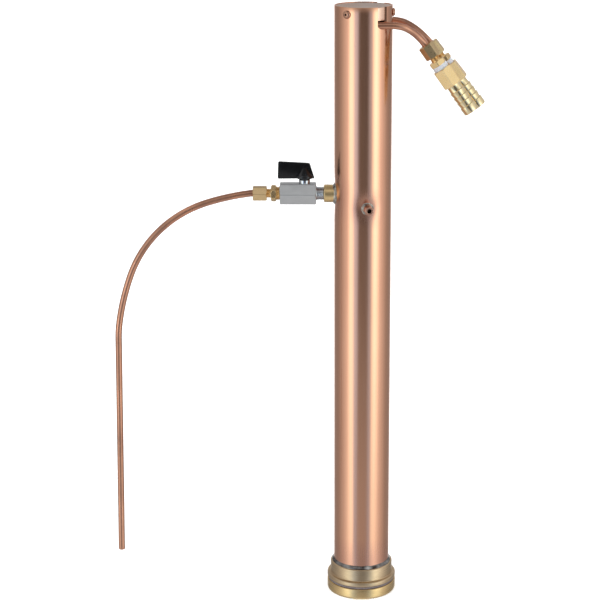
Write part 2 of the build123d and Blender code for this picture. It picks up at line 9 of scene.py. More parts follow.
import bmesh
import bpy
from mathutils import Matrix, Vector, noise
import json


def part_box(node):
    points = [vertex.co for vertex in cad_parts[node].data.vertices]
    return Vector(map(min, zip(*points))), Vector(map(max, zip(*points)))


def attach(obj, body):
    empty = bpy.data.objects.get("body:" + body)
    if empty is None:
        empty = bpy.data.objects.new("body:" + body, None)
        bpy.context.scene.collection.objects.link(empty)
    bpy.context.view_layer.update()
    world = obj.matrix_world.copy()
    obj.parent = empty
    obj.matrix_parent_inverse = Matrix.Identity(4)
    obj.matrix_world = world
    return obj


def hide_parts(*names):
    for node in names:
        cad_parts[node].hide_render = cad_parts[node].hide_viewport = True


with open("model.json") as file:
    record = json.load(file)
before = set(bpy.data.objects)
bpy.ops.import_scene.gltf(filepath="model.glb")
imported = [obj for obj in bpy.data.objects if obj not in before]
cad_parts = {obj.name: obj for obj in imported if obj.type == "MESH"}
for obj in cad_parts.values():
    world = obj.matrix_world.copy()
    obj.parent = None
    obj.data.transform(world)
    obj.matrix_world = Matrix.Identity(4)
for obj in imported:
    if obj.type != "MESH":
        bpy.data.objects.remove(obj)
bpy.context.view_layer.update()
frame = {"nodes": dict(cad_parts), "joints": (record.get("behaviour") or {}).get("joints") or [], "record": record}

MM = 0.001
MOUNTS = {m["name"]: m for m in frame["record"]["mounts"]}
HINGE = Vector(frame["joints"][0]["pos_m"])

# --- sizes read from the frame, in millimetres ---
tube_low, tube_high = (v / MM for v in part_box("column_tube"))
boss_low, boss_high = (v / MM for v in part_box("valve_boss"))
body_low, body_high = (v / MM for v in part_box("valve_body"))
nipple_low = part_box("valve_nipple")[0] / MM
cap_low, cap_high = (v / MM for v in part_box("top_cap"))
ring_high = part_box("base_ring")[1] / MM
gasket_low, gasket_high = (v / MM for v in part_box("base_gasket"))
collar_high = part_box("base_collar")[1] / MM
gland_low, gland_high = (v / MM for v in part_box("stem_gland"))
lever_low, lever_high = (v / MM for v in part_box("valve_lever"))
adaptor_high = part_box("takeoff_adaptor")[1] / MM

TUBE_R = tube_high.x
TUBE_WALL = 1.5
VALVE_Z = (boss_low.z + boss_high.z) / 2
BOSS_R = (boss_high.z - boss_low.z) / 2
BOSS_END, NIPPLE_END, BODY_END = -boss_low.x, -body_high.x, -body_low.x
BODY_AF = body_high.z - body_low.z
PORT_AXIS = Vector(MOUNTS["thermometer_port"]["axis"])
PORT_Z = MOUNTS["thermometer_port"]["pos_m"][2] / MM
PORT_FOOT = tuple(PORT_AXIS * TUBE_R + Vector((0, 0, PORT_Z)))
PORT_CORNER = 0.55  # how far a corner of its slanted end reaches past the end's middle
PORT_END = -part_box("thermometer_port")[0].y / MM / cos(atan2(PORT_AXIS.x, -PORT_AXIS.y)) - PORT_CORNER

# --- column and base, in millimetres ---
SLOT_Y, SLOT_W, SLOT_Z = 20.35, 6.75, 561.7
SLOT_INNER_X, SLOT_OUTER_X = 8, 40
COARSE_STEP, DENT_STEP = 8, 1.2  # spacing of the tube's rings
BOSS_DENT, PORT_DENT = (1.0, 15.0), (1.3, 8.5)  # depth and spread of each hollow
PORT_R, PORT_BORE_R, PORT_INNER = 4.0, 2.1, 22
SADDLE_RISE = 2.4
CAP_INNER_R, CAP_PLATE = 19.5, 4
SCREW_Z, SCREW_AZIMUTHS = 572.0, (-34.0, 86.0, 206.0)
SPIGOT_R = 30.45
G2_BORE_R, G2_PITCH, G2_DEPTH, G2_TOP = 28.3, 2.31, 0.55, 15.0
COLLAR_FOOT, COLLAR_STEP, COLLAR_R = 16.2, 17.6, 30.3
LEDGE_TOP, LEDGE_R, COLLAR_BORE_R = 18.0, 24.0, 27.1

# --- valve and fittings, in millimetres ---
G14_R, G14_BORE_R, G14_PITCH, G14_DEPTH = 6.58, 6.6, 1.337, 0.8
BOSS_START, NIPPLE_START = 25.0, 27.5
FLOW_R, PLUG_R, CAVITY_R, CAVITY_LEN = 3.2, 7.37, 7.4, 18
GLAND_BORE_R, GLAND_ROOT_R = 2.5, 4.2
PIPE_R, PIPE_IR = 3.175, 2.375
PIPE_IN_FITTING = 12.0
NUT_AF, NUT_LEN, NUT_BORE_R = 13.0, 13.1, 6.0
NECK_R, NECK_LEN = 4.35, 4.0
NECK_START, NECK_PITCH, NECK_DEPTH = 9.0, 0.8, 0.4
ADAPTOR_AF, ADAPTOR_LEN, ADAPTOR_THREAD, ADAPTOR_BORE_R = 14.0, 5.0, 12.0, 2.4
TAPE_LEN, TAPE_R, TAPE_LAP = 4.1, 7.1, 1.9
TAIL_AF, TAIL_LEN, TAIL_BORE_R = 17.0, 18.2, 4.0
BARB_NECK, BARB_PITCH, BARB_COUNT, BARB_TIP = 6.3, 5.5, 4, 7.7
BARB_R, BARB_NECK_R, BARB_VALLEY_R = 7.5, 6.5, 6.55
BARB_LEN = BARB_NECK + BARB_PITCH * (BARB_COUNT - 1) + BARB_TIP
HEX_START = NUT_LEN + NECK_LEN
THREAD_START = HEX_START + ADAPTOR_LEN
TAIL_START = THREAD_START + TAPE_LEN
FITTING_LEN = TAIL_START + TAIL_LEN + BARB_LEN
TAKEOFF_BENDS = ((15.0, 7.5), (240.0, 10.0), (117.0, 52.0), (240.0, 12.2), (108.0, 7.3))
TAKEOFF_START, TAKEOFF_FIRST_BEND = -92.0, -104.5
COOLANT_ROUTES = {
    "a": (((9.0, -SLOT_Y, SLOT_Z), (32.6, -SLOT_Y, SLOT_Z), (44.2, -15.2, 556.5), (54.4, -9.0, 545.8)),
          (26.0, 50.0, 20.0)),
    "b": (((9.0, SLOT_Y, 562.0), (33.0, SLOT_Y, 562.0), (46.8, 15.6, 556.9), (59.3, 9.0, 545.4)),
          (30.0, 60.0, 24.0)),
}
NUT_TURN = {"takeoff": 0.0, "a": 24.0, "b": 12.0}
ADAPTOR_TURN = {"takeoff": 30.0, "a": 4.0, "b": 24.0}
TAIL_TURN = {"a": 0.0, "b": 10.0}
SHARP = 32.0  # degrees between faces from which an edge is shaded sharp


# ========== mesh helpers ==========
def linked(name, data):
    """A new object in the scene."""
    made = bpy.data.objects.new(name, data)
    bpy.context.scene.collection.objects.link(made)
    return made


def mesh_of(work, name):
    """The mesh of a finished bmesh."""
    mesh = bpy.data.meshes.new(name)
    work.to_mesh(mesh)
    work.free()
    return mesh


def smooth(mesh, sharp=SHARP):
    """Shade a mesh smooth apart from its sharp edges."""
    mesh.polygons.foreach_set("use_smooth", [True] * len(mesh.polygons))
    mesh.set_sharp_from_angle(angle=radians(sharp))


def add_object(name, mesh, place=None, sharp=SHARP):
    """Link a mesh, shade it smooth apart from its sharp edges, and put it in place."""
    smooth(mesh, sharp)
    piece = linked(name, mesh)
    if place is not None:
        piece.matrix_world = place
    return piece


def eased(outline, radius, steps=3, closed=True):
    """An outline of (radius, height) or (radius, height, flats) points, its corners rounded."""
    outline = [(*point, 0.0)[:3] for point in outline]
    result = []
    count = len(outline)
    for i, point in enumerate(outline):
        ends = not closed and i in (0, count - 1)
        before, after = outline[i - 1], outline[(i + 1) % count]
        here = Vector(point[:2])
        back, ahead = Vector(before[:2]) - here, Vector(after[:2]) - here
        if ends or back.length < 1e-6 or ahead.length < 1e-6 or back.angle(ahead) > radians(172):
            result.append(point)
            continue
        reach = min(radius, 0.45 * back.length, 0.45 * ahead.length)
        start, end = here + back.normalized() * reach, here + ahead.normalized() * reach
        for k in range(steps + 1):
            s = k / steps
            mixed = start * (1 - s) ** 2 + here * 2 * s * (1 - s) + end * s ** 2
            result.append((mixed.x, mixed.y, point[2]))
    return result


def hex_span(across_flats, low, high, drop_share=0.6, steps=6):
    """Outer outline of a hexagonal bar with its ends turned to a chamfer."""
    flat_r, corner_r = across_flats / 2, across_flats / sqrt(3)
    drop = (corner_r - flat_r) * drop_share
    up = [(flat_r + (corner_r - flat_r) * k / steps, low + drop * k / steps, across_flats)
          for k in range(steps + 1)]
    down = [(r, high - (z - low), f) for r, z, f in reversed(up)]
    return up + down


def lathe(name, outline, place=None, closed=True, segments=96, turn=0.0, shift=None, sharp=SHARP):
    """Rings about Z joined into a skin. A point's third value, where it has one over
    0, is the width across flats of a hexagon that trims that ring; shift moves points of a ring."""
    verts, rings = [], []
    start = radians(turn)
    angles = [start + 2 * pi * i / segments for i in range(segments)]
    for r, z, flats in ((*point, 0.0)[:3] for point in outline):
        if r < 1e-6:
            rings.append([len(verts)])
            verts.append((0.0, 0.0, z * MM))
            continue
        ring = []
        for a in angles:
            radius, height = r, z
            if flats:
                off = (a - start) % (pi / 3) - pi / 6
                radius = min(r, flats / 2 / cos(off), flats / sqrt(3) - 0.12)
            if shift:
                radius, height = shift(radius, height, a)
            ring.append(len(verts))
            verts.append((radius * cos(a) * MM, radius * sin(a) * MM, height * MM))
        rings.append(ring)
    pairs = list(zip(rings, rings[1:])) + ([(rings[-1], rings[0])] if closed else [])
    faces = []
    for low, high in pairs:
        for i in range(segments):
            j = (i + 1) % segments
            if len(low) == 1 and len(high) > 1:
                faces.append((low[0], high[i], high[j]))
            elif len(high) == 1 and len(low) > 1:
                faces.append((low[i], high[0], low[j]))
            elif len(low) > 1:
                faces.append((low[i], low[j], high[j], high[i]))
    mesh = bpy.data.meshes.new(name)
    mesh.from_pydata(verts, [], faces)
    tidy_normals(mesh)
    return add_object(name, mesh, place, sharp)


def tidy_normals(mesh):
    """Point every face outwards."""
    work = bmesh.new()
    work.from_mesh(mesh)
    bmesh.ops.recalc_face_normals(work, faces=work.faces)
    work.to_mesh(mesh)
    work.free()


def axis_place(origin, axis, side):
    """Matrix whose Z is the axis and whose X is the side, at an origin in millimetres."""
    z = Vector(axis).normalized()
    x = (Vector(side) - z * Vector(side).dot(z)).normalized()
    y = z.cross(x)
    turn = Matrix((x, y, z)).transposed().to_4x4()
    return Matrix.Translation(Vector(origin) * MM) @ turn


def valve_place():
    """On the valve line at the column's axis, facing out towards the valve."""
    return axis_place((0, 0, VALVE_Z), (-1, 0, 0), (0, 0, 1))


def takeoff_place():
    """At the pipe's entry into the take-off fitting, facing the valve."""
    entry = adaptor_high.x - ADAPTOR_THREAD - THREAD_START
    return axis_place((entry, 0, VALVE_Z), (1, 0, 0), (0, 1, 0))


def coolant_place(side):
    """At the pipe's entry into a coolant fitting, facing its barb."""
    mount = MOUNTS["coolant_hose_" + side]
    axis = Vector(mount["axis"])
    return axis_place(Vector(mount["pos_m"]) / MM - axis * FITTING_LEN, axis, (0, 1, 0))


def stem_place():
    """On the stem's axis, at the height of the base."""
    return Matrix.Translation(Vector((HINGE.x, HINGE.y, 0.0)))


def sweep_tube(name, points, sides=40):
    """Copper pipe along a list of points: faintly uneven, its ends faced and eased."""
    tangents = []
    for i in range(len(points)):
        ahead, behind = points[min(i + 1, len(points) - 1)], points[max(i - 1, 0)]
        tangents.append((ahead - behind).normalized())
    side = Vector((0, 1, 0))
    frames = []
    for point, tangent in zip(points, tangents):
        side = (side - tangent * side.dot(tangent)).normalized()
        frames.append((point, side, tangent.cross(side)))
    ease, lip, waver = 0.25, 0.1, 0.012
    rings = []

    def ring(index, radius, offset=0.0):
        point, u, v = frames[index]
        centre = point + tangents[index] * offset
        loop = []
        for k in range(sides):
            a = 2 * pi * k / sides
            grow = 1.0 + waver * noise.noise(point * 0.02 + Vector((cos(a), sin(a), 0)) * 0.5)
            loop.append((centre + (u * cos(a) + v * sin(a)) * radius * grow) * MM)
        rings.append(loop)

    last = len(points) - 1
    ring(0, PIPE_R - ease)
    ring(0, PIPE_R, ease)
    for i in range(1, last):
        ring(i, PIPE_R)
    ring(last, PIPE_R, -ease)
    ring(last, PIPE_R - ease)
    ring(last, PIPE_IR + lip)
    ring(last, PIPE_IR, -lip)
    for i in range(last - 1, 0, -1):
        ring(i, PIPE_IR)
    ring(0, PIPE_IR, lip)
    ring(0, PIPE_IR + lip)
    verts = [p for loop in rings for p in loop]
    total = len(rings)
    faces = []
    for i in range(total):
        for k in range(sides):
            a, b = i * sides + k, i * sides + (k + 1) % sides
            c, d = ((i + 1) % total) * sides + (k + 1) % sides, ((i + 1) % total) * sides + k
            faces.append((a, b, c, d))
    mesh = bpy.data.meshes.new(name)
    mesh.from_pydata(verts, [], faces)
    length = [0.0]
    for i in range(1, len(points)):
        length.append(length[-1] + (points[i] - points[i - 1]).length)
    along = [0, 0] + length[1:last] + [length[-1]] * 4 + length[1:last][::-1] + [0, 0]
    uv = mesh.uv_layers.new(name="along")
    for face in mesh.polygons:
        ks = [v % sides for v in face.vertices]
        wraps = max(ks) - min(ks) > sides / 2
        for loop, vertex, k in zip(face.loop_indices, face.vertices, ks):
            u = (k + sides if wraps and k < sides / 2 else k) / sides
            uv.data[loop].uv = (u, along[vertex // sides] * MM)
    tidy_normals(mesh)
    return add_object(name, mesh)


def arc_points(start, heading, radius, angle, step=3.0):
    """Points of an arc in the XZ plane that turns downwards from a heading along -X."""
    count = max(2, int(radians(angle) * radius / step))
    turn = radians(angle) / count
    points = []
    here, a = start.copy(), heading
    for _ in range(count):
        chord = 2 * radius * sin(turn / 2)
        a += turn / 2
        here = here + Vector((-cos(a), 0, -sin(a))) * chord
        a += turn / 2
        points.append(here)
    return points, a


def filleted(corners, radii, steps=10):
    """Points along straight runs joined by arcs of the given radii."""
    points = [corners[0]]
    for i, radius in enumerate(radii, start=1):
        back = (corners[i - 1] - corners[i]).normalized()
        ahead = (corners[i + 1] - corners[i]).normalized()
        half = (pi - back.angle(ahead)) / 2
        reach = radius * tan(half)
        centre = corners[i] + (back + ahead).normalized() * (radius / cos(half))
        begin, end = corners[i] + back * reach, corners[i] + ahead * reach
        u = (begin - centre).normalized()
        w = (end - centre) - u * (end - centre).dot(u)
        w.normalize()
        for k in range(steps + 1):
            a = 2 * half * k / steps
            points.append(centre + (u * cos(a) + w * sin(a)) * radius)
    points.append(corners[-1])
    return points


def spaced(points, gap=4.0):
    """The same line with its long runs divided."""
    result = [points[0]]
    for point in points[1:]:
        run = point - result[-1]
        parts = max(1, int(run.length / gap))
        origin = result[-1]
        for k in range(1, parts + 1):
            result.append(origin + run * (k / parts))
    return result


def joined(name, pieces):
    """One object from several, in the column's frame."""
    work = bmesh.new()
    for piece in pieces:
        part = piece.data.copy()
        part.transform(piece.matrix_world)
        work.from_mesh(part)
        bpy.data.objects.remove(piece)
    return add_object(name, mesh_of(work, name))


def cut_with(piece, cutters):
    """Subtract the cutters from a piece and leave the result as its mesh."""
    for cutter in cutters:
        tool = piece.modifiers.new("cut", "BOOLEAN")
        tool.operation, tool.solver, tool.object = "DIFFERENCE", "EXACT", cutter
    bpy.context.view_layer.update()
    shaped = piece.evaluated_get(bpy.context.evaluated_depsgraph_get())
    result = bpy.data.meshes.new_from_object(shaped)
    piece.modifiers.clear()
    piece.data = result
    for cutter in cutters:
        bpy.data.objects.remove(cutter)
    smooth(result)


def block(name, low, high):
    """Box between two corners in millimetres, used as a cutter."""
    work = bmesh.new()
    middle = (Vector(low) + Vector(high)) / 2 * MM
    size = (Vector(high) - Vector(low)) * MM
    place = Matrix.Translation(middle) @ Matrix.Diagonal((*size, 1.0))
    bmesh.ops.create_cube(work, size=1.0, matrix=place)
    return add_object(name, mesh_of(work, name))


# ========== materials ==========
def math_node(tree, operation, first, second):
    """Arithmetic on two values, each a number or a socket."""
    node = tree.nodes.new("ShaderNodeMath")
    node.operation = operation
    for socket, value in zip(node.inputs, (first, second)):
        if isinstance(value, (int, float)):
            socket.default_value = value
        else:
            tree.links.new(value, socket)
    return node.outputs["Value"]


class Shade:
    """A small builder for one node material."""

    def __init__(self, name, metallic, roughness):
        self.material = bpy.data.materials.new(name)
        self.material.use_nodes = True
        self.tree = self.material.node_tree
        self.shader = self.tree.nodes["Principled BSDF"]
        self.shader.inputs["Metallic"].default_value = metallic
        self.shader.inputs["Roughness"].default_value = roughness
        self.coords = self.add("TexCoord")

    def link(self, source, target):
        self.tree.links.new(source, target)

    def add(self, kind):
        return self.tree.nodes.new("ShaderNode" + kind)

    def noise(self, scale, stretch=(1, 1, 1), detail=3.0, source="Object", rough=0.55):
        """Noise over the piece's own coordinates; stretch divides the grain's length."""
        mapping = self.add("Mapping")
        mapping.inputs["Scale"].default_value = stretch
        self.link(self.coords.outputs[source], mapping.inputs["Vector"])
        texture = self.add("TexNoise")
        texture.inputs["Scale"].default_value = scale
        texture.inputs["Detail"].default_value = detail
        texture.inputs["Roughness"].default_value = rough
        self.link(mapping.outputs["Vector"], texture.inputs["Vector"])
        return texture.outputs["Fac"]

    def remap(self, value, low, high, to_low=0.0, to_high=1.0):
        node = self.add("MapRange")
        ends = {"From Min": low, "From Max": high, "To Min": to_low, "To Max": to_high}
        for socket, number in ends.items():
            node.inputs[socket].default_value = number
        self.link(value, node.inputs["Value"])
        return node.outputs["Result"]

    def mix(self, factor, first, second):
        """Blend two colours, each a tuple or a socket."""
        node = self.add("Mix")
        node.data_type = "RGBA"
        self.link(factor, node.inputs["Factor"])
        for socket, colour in ((node.inputs[6], first), (node.inputs[7], second)):
            if isinstance(colour, tuple):
                socket.default_value = (*colour, 1.0)
            else:
                self.link(colour, socket)
        return node.outputs[2]

    def math(self, operation, first, second):
        return math_node(self.tree, operation, first, second)

    def near(self, point, inner, outer):
        """1 within the inner distance (mm) of a point of the column's frame, 0 beyond the outer."""
        node = self.add("VectorMath")
        node.operation = "DISTANCE"
        node.inputs[1].default_value = Vector(point) * MM
        self.link(self.coords.outputs["Object"], node.inputs[0])
        return self.remap(node.outputs["Value"], inner * MM, outer * MM, 1.0, 0.0)

    def edges(self, low, high):
        """Convex edges of the mesh, for worn metal."""
        geometry = self.add("NewGeometry")
        return self.remap(geometry.outputs["Pointiness"], low, high)

    def colour(self, socket):
        self.link(socket, self.shader.inputs["Base Color"])

    def roughness(self, socket):
        self.link(socket, self.shader.inputs["Roughness"])

    def bump(self, height, strength, distance):
        """Add a bump on top of any already there."""
        node = self.add("Bump")
        node.inputs["Strength"].default_value = strength
        node.inputs["Distance"].default_value = distance * MM
        self.link(height, node.inputs["Height"])
        if self.shader.inputs["Normal"].is_linked:
            self.link(self.shader.inputs["Normal"].links[0].from_socket, node.inputs["Normal"])
        self.link(node.outputs["Normal"], self.shader.inputs["Normal"])


def brushed_column():
    """Satin copper rubbed along the tube, with heat tint round the soldered joints."""
    shade = Shade("brushed copper", 1.0, 0.20)
    streak = shade.noise(1.0, (2600, 2600, 16), 4.0)
    hair = shade.noise(1.0, (9000, 9000, 60), 2.0)
    cloud = shade.noise(16.0, (1, 1, 0.35), 3.0)
    base = shade.mix(shade.remap(cloud, 0.35, 0.7), COPPER, COPPER_DEEP)
    base = shade.mix(shade.remap(streak, 0.42, 0.72, 0.0, 0.3), base, COPPER_LIGHT)
    heat = shade.math("MAXIMUM", shade.near((-TUBE_R, 0, VALVE_Z), 9, 34), shade.near(PORT_FOOT, 5, 22))
    heat = shade.math("MAXIMUM", heat, shade.near((0, 0, collar_high.z), TUBE_R, TUBE_R + 14))
    heat = shade.math("MULTIPLY", heat, shade.remap(cloud, 0.3, 0.65, 0.25, 0.8))
    shade.colour(shade.mix(heat, base, COPPER_HEATED))
    satin = shade.remap(streak, 0.3, 0.75, 0.15, 0.25)
    shade.roughness(shade.math("ADD", satin, shade.math("MULTIPLY", heat, 0.16)))
    shade.bump(streak, 0.08, 0.02)
    shade.bump(hair, 0.05, 0.01)
    return shade.material


def turned_metal(name, colour, dark, roughness, line=2200.0, bump=0.12, aniso=0.4, spots=60.0):
    """Metal finished on a lathe: fine rings round its own Z axis and a mottled tone."""
    shade = Shade(name, 1.0, roughness)
    lines = shade.noise(1.0, (30, 30, line), 3.0)
    mottle = shade.noise(spots, detail=4.0)
    base = shade.mix(shade.remap(mottle, 0.38, 0.68), colour, dark)
    worn = tuple(min(1.0, c * 1.18) for c in colour)
    shade.colour(shade.mix(shade.edges(0.53, 0.6), base, worn))
    shade.roughness(shade.remap(lines, 0.3, 0.7, roughness * 0.75, roughness * 1.3))
    shade.bump(lines, bump, 0.02)
    shade.shader.inputs["Anisotropic"].default_value = aniso
    return shade.material


def milled_metal(name, colour, dark, roughness, grain=(900, 900, 900), bump=0.1):
    """Flat-sided metal: an even satin grain with faint stains and brighter edges."""
    shade = Shade(name, 1.0, roughness)
    fine = shade.noise(1.0, grain, 3.0)
    stain = shade.noise(90.0, detail=2.0)
    base = shade.mix(shade.remap(stain, 0.4, 0.8), colour, dark)
    worn = tuple(min(1.0, c * 1.25) for c in colour)
    shade.colour(shade.mix(shade.edges(0.54, 0.62), base, worn))
    shade.roughness(shade.remap(fine, 0.3, 0.7, roughness * 0.8, roughness * 1.25))
    shade.bump(fine, bump, 0.02)
    return shade.material


def pipe_copper():
    """Drawn copper pipe: lines along its length and brown patches."""
    shade = Shade("pipe copper", 1.0, 0.3)
    lines = shade.noise(1.0, (42, 9, 1), 3.0, source="UV")
    patch = shade.noise(55.0, (1, 1, 0.5), 5.0)
    rub = shade.noise(420.0, detail=3.0)
    base = shade.mix(shade.remap(patch, 0.36, 0.66), PIPE_COPPER, PIPE_BROWN)
    shade.colour(shade.mix(shade.remap(rub, 0.55, 0.8, 0.0, 0.4), base, COPPER))
    shade.roughness(shade.remap(patch, 0.3, 0.7, 0.24, 0.40))
    shade.bump(lines, 0.15, 0.03)
    return shade.material


def dark_solder():
    """Solder with smooth lumps: mostly near black, with grey patches laid by noise."""
    shade = Shade("dark solder", 1.0, 0.2)
    lump = shade.noise(240.0, detail=2.0)
    tone_patches = shade.noise(110.0, detail=1.5)
    shade.colour(shade.mix(shade.remap(tone_patches, 0.38, 0.66), SOLDER_DARK, SOLDER_GREY))
    shade.roughness(shade.remap(tone_patches, 0.35, 0.7, 0.10, 0.22))
    shade.bump(lump, 0.8, 0.45)
    return shade.material


def tinned_solder():
    """Clean solder: silvery, with copper showing through in places; its light and dark patches are partly its own
    tone and partly painted highlight and painted shade.
    """
    shade = Shade("tinned solder", 1.0, 0.2)
    lump = shade.noise(340.0, detail=2.0)
    tone_and_sheen = shade.noise(210.0, detail=3.0)
    # Light and dark patches from noise: partly the solder's uneven tone, partly painted highlight and painted
    # shade.
    base = shade.mix(shade.remap(tone_and_sheen, 0.38, 0.62), SOLDER_TONE_AND_SHADE, SOLDER_TONE_AND_HIGHLIGHT)
    shade.colour(shade.mix(shade.remap(lump, 0.6, 0.75), base, COPPER_DEEP))
    shade.roughness(shade.remap(tone_and_sheen, 0.35, 0.7, 0.12, 0.28))
    shade.bump(lump, 0.5, 0.25)
    return shade.material


def black_plastic():
    """Gloss black moulding with the faint ripple of a moulded face."""
    shade = Shade("gloss black plastic", 0.0, 0.12)
    ripple = shade.noise(120.0, detail=2.0)
    dust = shade.noise(1800.0, detail=3.0)
    shade.colour(shade.mix(shade.remap(dust, 0.62, 0.8, 0.0, 0.5), PLASTIC_BLACK, PLASTIC_DUST))
    shade.roughness(shade.remap(dust, 0.4, 0.75, 0.08, 0.16))
    shade.bump(ripple, 0.10, 0.08)
    return shade.material


def soft_rubber():
    """Black gasket rubber with dusty pores."""
    shade = Shade("gasket rubber", 0.0, 0.6)
    pores = shade.noise(1400.0, detail=4.0)
    shade.colour(shade.mix(shade.remap(pores, 0.4, 0.7), RUBBER_DARK, RUBBER_DUSTY))
    shade.roughness(shade.remap(pores, 0.3, 0.7, 0.5, 0.75))
    shade.bump(pores, 0.3, 0.05)
    return shade.material


def white_tape():
    """Stretched PTFE tape: dull white with creases round the thread."""
    shade = Shade("ptfe tape", 0.0, 0.55)
    crease = shade.noise(1.0, (140, 140, 1500), 4.0)
    cloud = shade.noise(260.0, detail=3.0)
    shade.colour(shade.mix(shade.remap(cloud, 0.35, 0.7), TAPE_WHITE, TAPE_GREY))
    shade.roughness(shade.remap(crease, 0.3, 0.7, 0.42, 0.65))
    shade.bump(crease, 0.4, 0.08)
    shade.shader.inputs["Subsurface Weight"].default_value = 0.15
    shade.shader.inputs["Subsurface Scale"].default_value = 0.001
    return shade.material


def copper_mesh():
    """Knitted copper wire, seen only from below."""
    shade = Shade("copper mesh", 1.0, 0.4)
    knit = shade.add("TexVoronoi")
    knit.inputs["Scale"].default_value = 700.0
    shade.link(shade.coords.outputs["Object"], knit.inputs["Vector"])
    gap = knit.outputs["Distance"]
    shade.colour(shade.mix(shade.remap(gap, 0.1, 0.6), COPPER_LIGHT, MESH_SHADOW))
    shade.bump(gap, 0.8, 0.4)
    return shade.material


COPPER = (0.82, 0.435, 0.285)
COPPER_DEEP = (0.75, 0.385, 0.25)
COPPER_LIGHT = (0.88, 0.54, 0.39)
COPPER_HEATED = (0.66, 0.34, 0.25)
PIPE_COPPER = (0.66, 0.325, 0.21)
PIPE_BROWN = (0.46, 0.235, 0.16)
SOLDER_DARK = (0.05, 0.042, 0.04)
SOLDER_GREY = (0.40, 0.38, 0.37)
# Tinned solder's dark and light tones; their spread also holds painted shade and painted highlight.
SOLDER_TONE_AND_SHADE = (0.20, 0.18, 0.17)
SOLDER_TONE_AND_HIGHLIGHT = (0.55, 0.53, 0.48)
PLASTIC_BLACK = (0.0015, 0.0018, 0.0025)
PLASTIC_DUST = (0.008, 0.008, 0.01)
RUBBER_DARK = (0.14, 0.115, 0.115)
RUBBER_DUSTY = (0.19, 0.16, 0.16)
TAPE_WHITE = (0.58, 0.58, 0.60)
TAPE_GREY = (0.44, 0.45, 0.48)
MESH_SHADOW = (0.12, 0.05, 0.03)

LOOKS = {
    "column": brushed_column(),
    "pipe": pipe_copper(),
    "cap": turned_metal("turned cap", (0.84, 0.57, 0.44), (0.77, 0.51, 0.38), 0.24, 3600.0, 0.2),
    "screw": turned_metal("copper screw", (0.62, 0.34, 0.23), (0.40, 0.20, 0.14), 0.26),
    "socket": turned_metal("socket shadow", (0.05, 0.035, 0.03), (0.03, 0.02, 0.02), 0.5),
    "port": turned_metal("port copper", (0.78, 0.42, 0.29), (0.60, 0.32, 0.23), 0.25),
    "antique": turned_metal("antique brass", (0.68, 0.505, 0.32), (0.57, 0.42, 0.265), 0.32),
    "golden": turned_metal("golden brass", (0.80, 0.57, 0.285), (0.69, 0.48, 0.235), 0.27),
    "boss": turned_metal("boss brass", (0.88, 0.65, 0.33), (0.74, 0.53, 0.26), 0.34, aniso=0.1),
    "hex": milled_metal("satin brass", (0.85, 0.60, 0.32), (0.78, 0.55, 0.28), 0.27),
    "nut": milled_metal("dull brass", (0.74, 0.535, 0.29), (0.63, 0.45, 0.24), 0.32),
    "barb": turned_metal("polished brass", (0.94, 0.76, 0.47), (0.88, 0.69, 0.40), 0.07, 1500.0, 0.05, 0.1),
    "nickel": milled_metal("satin nickel", (0.585, 0.595, 0.605), (0.535, 0.545, 0.555), 0.36,
                           (1500, 1500, 90), 0.14),
    "chrome": turned_metal("chrome", (0.60, 0.61, 0.63), (0.50, 0.51, 0.54), 0.07, 900.0, 0.04),
    "solder": dark_solder(),
    "tinned": tinned_solder(),
    "lever": black_plastic(),
    "rubber": soft_rubber(),
    "tape": white_tape(),
    "mesh": copper_mesh(),
}


def dress(piece, look, nodes, body="column"):
    """Give a piece its material and its body, and hide the CAD nodes it stands for."""
    piece.data.materials.clear()
    piece.data.materials.append(LOOKS[look])
    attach(piece, body)
    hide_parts(*nodes)
    return piece


def dress_faces(piece, look, chosen):
    """A second material, on the faces whose centre is chosen."""
    piece.data.materials.append(LOOKS[look])
    for face in piece.data.polygons:
        if chosen(face.center):
            face.material_index = 1


# ========== column ==========
def spread(low, high, step):
    """Evenly spaced heights, both ends included."""
    count = max(1, round((high - low) / step))
    return [low + (high - low) * i / count for i in range(count + 1)]


def wall_dent(radius, z, angle):
    """Heat-drawn hollows round the boss and the port, and the tube's faint waviness."""
    point = Vector((radius * cos(angle), radius * sin(angle), z))
    boss = (point - Vector((-TUBE_R, 0, VALVE_Z))).length
    port = (point - Vector(PORT_FOOT)).length
    dent = BOSS_DENT[0] * exp(-(boss / BOSS_DENT[1]) ** 2) + PORT_DENT[0] * exp(-(port / PORT_DENT[1]) ** 2)
    wave = 0.02 * noise.noise(Vector((cos(angle) * 2, sin(angle) * 2, z / 55)))
    return radius - dent + wave, z


def copper_column():
    """Tube with its two slots, its rings closer together where it is dented."""
    low, high = tube_low.z, tube_high.z
    fine_low, fine_high = PORT_Z - 30, VALVE_Z + 36
    heights = spread(low, fine_low, COARSE_STEP) + spread(fine_low, fine_high, DENT_STEP)[1:]
    heights += spread(fine_high, high - 0.3, COARSE_STEP)[1:]
    outer = [(TUBE_R, z) for z in heights]
    inner_r = TUBE_R - TUBE_WALL
    rim = [(TUBE_R - 0.12, high - 0.08), (TUBE_R - 0.3, high), (inner_r + 0.2, high), (inner_r, high - 0.2)]
    inner = [(inner_r, z) for z in spread(high - 1, low, 40)]
    shell = lathe("copper_column", outer + rim + inner, segments=256,
                  shift=lambda r, z, a: wall_dent(r, z, a) if r > TUBE_R - 0.5 else (r, z))
    cutters = []
    for side in (-1, 1):
        y, half = side * SLOT_Y, SLOT_W / 2
        depth = SLOT_OUTER_X - SLOT_INNER_X
        far_corner = (SLOT_OUTER_X, y + half, SLOT_Z + 40)
        cutters.append(block("slot_block", (SLOT_INNER_X, y - half, SLOT_Z), far_corner))
        place = axis_place((SLOT_INNER_X, y, SLOT_Z), (1, 0, 0), (0, 0, 1))
        round_end = [(0, 0), (half, 0), (half, depth), (0, depth)]
        cutters.append(lathe("slot_round", round_end, place, closed=False, segments=48))
    cut_with(shell, cutters)
    dress(shell, "column", ["column_tube"])


